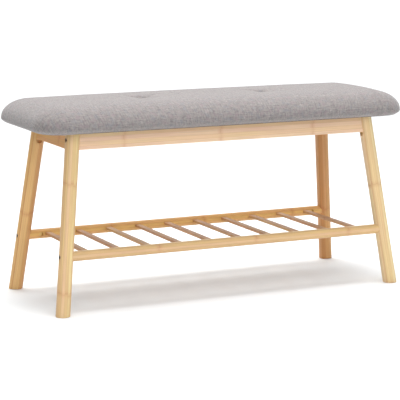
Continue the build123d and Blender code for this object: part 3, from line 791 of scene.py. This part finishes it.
def tuft_folds(x, y):
    """How deep the creases that run out of the tufts are at a place."""
    depth = 0.0
    for cx, cy in TUFT_SPOTS:
        for angle, strength in FOLDS:
            way = Vector((math.cos(math.radians(angle)), math.sin(math.radians(angle))))
            off = Vector((x - cx, y - cy))
            along = off.dot(way)
            if along <= 0:
                continue
            away = abs(off.x * way.y - off.y * way.x)
            fade = max(0.0, 1 - along / FOLD_REACH) ** FOLD_FADE * min(1.0, along / FOLD_START)
            width = FOLD_WIDTH * (1 + along / FOLD_REACH)
            depth += strength * FOLD_DEPTH * fade * math.exp(-((away / width) ** 2))
    return depth


def tuft_drop(x, y):
    """Pits and folds together, smoothly held to the depth that the ties reach down to."""
    wanted = tuft_pit(x, y) + tuft_folds(x, y)
    return wanted / (1 + (wanted / TUFT_LIMIT) ** LIMIT_SHARPNESS) ** (1 / LIMIT_SHARPNESS)


def new_object(name, points, faces):
    mesh = bpy.data.meshes.new(name)
    mesh.from_pydata([tuple(p) for p in points], [], faces)
    mesh.validate()
    mesh.shade_smooth()
    made = bpy.data.objects.new(name, mesh)
    bpy.context.scene.collection.objects.link(made)
    return made


def top_share(point):
    """1 on the seat's top and 0 at its widest level."""
    rise = (point.z - UNDERSIDE - WIDEST_LEVEL) / (SHOULDER_LEVEL - WIDEST_LEVEL)
    return max(0.0, min(1.0, rise))


def fill_out(skin):
    """Runs the pad as cloth under pressure, from slightly small, and returns how far each point moved."""
    start = [p - Vector((0, 0, SLACK * top_share(p))) for p in skin.points]
    pad = new_object("cloth_run", start, skin.faces)
    group = pad.vertex_groups.new(name="held")
    for index, (point, held) in enumerate(zip(skin.points, skin.held)):
        tied = not held and any(math.hypot(point.x - cx, point.y - cy) < TIE_REACH for cx, cy in TUFT_SPOTS)
        if held or tied:
            group.add([index], 1.0, "REPLACE")
    cloth = pad.modifiers.new("cloth", "CLOTH")
    cloth.settings.vertex_group_mass = "held"
    cloth.settings.quality = 6
    cloth.settings.mass = 0.4
    cloth.settings.tension_stiffness = 30
    cloth.settings.compression_stiffness = 30
    cloth.settings.shear_stiffness = 12
    cloth.settings.bending_stiffness = 1.5
    cloth.settings.use_pressure = True
    cloth.settings.uniform_pressure_force = CLOTH_PRESSURE
    cloth.settings.effector_weights.gravity = 0.0
    cloth.collision_settings.use_collision = False
    cloth.point_cache.frame_start = 1
    cloth.point_cache.frame_end = CLOTH_FRAMES
    scene = bpy.context.scene
    for step in range(1, CLOTH_FRAMES + 1):
        scene.frame_set(step)
    settled = pad.evaluated_get(bpy.context.evaluated_depsgraph_get()).to_mesh()
    moves = [vertex.co - before for vertex, before in zip(settled.vertices, start)]
    bpy.data.objects.remove(pad)
    scene.frame_set(1)
    return [move if move.length <= CLOTH_REACH else move * (CLOTH_REACH / move.length) for move in moves]


def make_seat():
    """The upholstered pad, cover and foam together. The cloth run's rise is scaled so that half of the
    top comes back to its wanted level or above."""
    skin = lay_out_pad()
    moves = fill_out(skin)
    risen = sorted(move.z for point, held, move in zip(skin.points, skin.held, moves)
                   if not held and top_share(point) > TOP_FROM)
    gain = SLACK / risen[len(risen) // 2]
    places = []
    for point, held, move in zip(skin.points, skin.held, moves):
        if held:
            places.append(point)
            continue
        share_up = top_share(point)
        shift = (move * gain - Vector((0, 0, SLACK))) * CLOTH_SHARE
        shift.z = max(shift.z, -CLOTH_DROP)
        place = point + shift * share_up
        if point.z > UNDERSIDE + WIDEST_LEVEL:
            place.z -= tuft_drop(point.x, point.y) * share_up
        places.append(place)
    seat = new_object("seat_pad", places, skin.faces)
    cloth = seat.data.attributes.new("cloth", "FLOAT_VECTOR", "POINT")
    cloth.data.foreach_set("vector", [value for spot in skin.cloth for value in spot])
    smooth = seat.modifiers.new("smooth", "SUBSURF")
    smooth.levels = smooth.render_levels = 1
    seat.data.materials.append(linen("melange_linen"))
    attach(seat, "root")
    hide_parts("seat_cover", "seat_foam")


# ---------------------------------------------------------------- dust cover

# The sheet's thickness, its level over the frame, and its margin from the seat's edge. Its free part is
# given as half sizes along and across, and the ripple as a share of the sag.
DUST_THICKNESS = 0.00026
DUST_LEVEL = 0.00008
DUST_OVERLAP = 0.0235
DUST_SAG = 0.0028
DUST_FREE = (0.335, 0.068)
DUST_RIPPLE = 0.12
RIPPLE_WAVES = (31, 47)


def make_dust_cover():
    """The non-woven sheet under the seat. It covers the hem and the staples, lies flat over the frame, and
    sags a little between the brackets, with a slight ripple."""
    sides = outline(DUST_OVERLAP, CORNER_RADIUS - DUST_OVERLAP)
    grid = patch(sides)
    n, m = len(grid) - 1, len(grid[0]) - 1

    def level(x, y):
        free_x = max(0.0, 1 - (x / DUST_FREE[0]) ** 2)
        free_y = max(0.0, 1 - (y / DUST_FREE[1]) ** 2)
        waves = math.sin(RIPPLE_WAVES[0] * x) * math.cos(RIPPLE_WAVES[1] * y)
        ripple = DUST_RIPPLE * waves * (1 - free_y * 0.4)
        return UNDERSIDE + DUST_LEVEL - DUST_SAG * (free_x ** 0.6) * free_y ** 1.5 * (1 + ripple)

    points, faces = [], []
    for lift in (0.0, DUST_THICKNESS):
        points += [Vector((x, y, level(x, y) + lift)) for column in grid for x, y in column]
    size = (n + 1) * (m + 1)

    def at(i, j, layer):
        return layer * size + i * (m + 1) + j

    for i in range(n):
        for j in range(m):
            quad = (at(i, j, 0), at(i + 1, j, 0), at(i + 1, j + 1, 0), at(i, j + 1, 0))
            faces.append(quad[::-1])
            faces.append(tuple(index + size for index in quad))
    border = ([(i, 0) for i in range(n)] + [(n, j) for j in range(m)]
              + [(i, m) for i in range(n, 0, -1)] + [(0, j) for j in range(m, 0, -1)])
    for here, there in zip(border, border[1:] + border[:1]):
        faces.append((at(*here, 0), at(*there, 0), at(*there, 1), at(*here, 1)))
    cover = new_object("dust_sheet", points, faces)
    cover.data.materials.append(non_woven("spun_bonded_sheet"))
    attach(cover, "root")
    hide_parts("dust_cover")


# ---------------------------------------------------------------- studio


# Each light: name, place, what it faces, size and watts. The two large ones stand far behind and far in
# front of the bench, and only keep the floor white out to the horizon.
WORLD_STRENGTH = 0.35
FLOOR_REACH = 40
FLOOR_DROP = 0.0002
LIGHTS = (
    ("front", (-1.0, -2.0, 1.45), (0, 0, 0.25), (1.6, 0.8), 8),
    ("low", (0.35, -2.4, 0.40), (0.1, 0, 0.35), (1.0, 0.4), 6),
    ("top", (0.1, 0.1, 3.0), (0, 0, 0), (2.2, 2.0), 112),
    ("backdrop", (3.0, 11.0, 6.0), (3.0, 11.0, 0), (18.0, 14.0), 1500),
    ("far_front", (-3.0, -12.5, 6.0), (-3.0, -12.5, 0), (18.0, 13.0), 900),
)


def soft_light(name, place, aim, size, power):
    lamp = bpy.data.lights.new(name, "AREA")
    lamp.shape = "RECTANGLE"
    lamp.size, lamp.size_y = size
    lamp.energy = power
    made = bpy.data.objects.new(name, lamp)
    made.location = place
    made.rotation_euler = (Vector(aim) - Vector(place)).to_track_quat("-Z", "Y").to_euler()
    bpy.context.scene.collection.objects.link(made)


def make_studio():
    corners = [(sx * FLOOR_REACH, sy * FLOOR_REACH, 0) for sx, sy in ((-1, -1), (1, -1), (1, 1), (-1, 1))]
    floor = new_object("floor", corners, [(0, 1, 2, 3)])
    floor.location.z = -FLOOR_DROP
    floor.data.materials.append(floor_finish("pale_floor"))

    world = bpy.data.worlds.new("studio")
    world.use_nodes = True
    world.node_tree.nodes["Background"].inputs["Color"].default_value = (1.0, 1.0, 1.0, 1.0)
    world.node_tree.nodes["Background"].inputs["Strength"].default_value = WORLD_STRENGTH
    bpy.context.scene.world = world

    for light in LIGHTS:
        soft_light(*light)


def make_camera():
    lens = bpy.data.cameras.new("camera")
    lens.lens = CAMERA_LENS
    lens.sensor_width = SENSOR_WIDTH
    lens.clip_start, lens.clip_end = 0.1, 200
    camera = bpy.data.objects.new("camera", lens)
    camera.location = CAMERA_PLACE
    camera.rotation_euler = (math.pi / 2 - CAMERA_PITCH, 0, -CAMERA_YAW)
    bpy.context.scene.collection.objects.link(camera)
    bpy.context.scene.camera = camera


make_camera()
bpy.context.scene.view_settings.view_transform = "Standard"
finish_frame()
finish_fittings()
make_seat()
make_dust_cover()
make_studio()
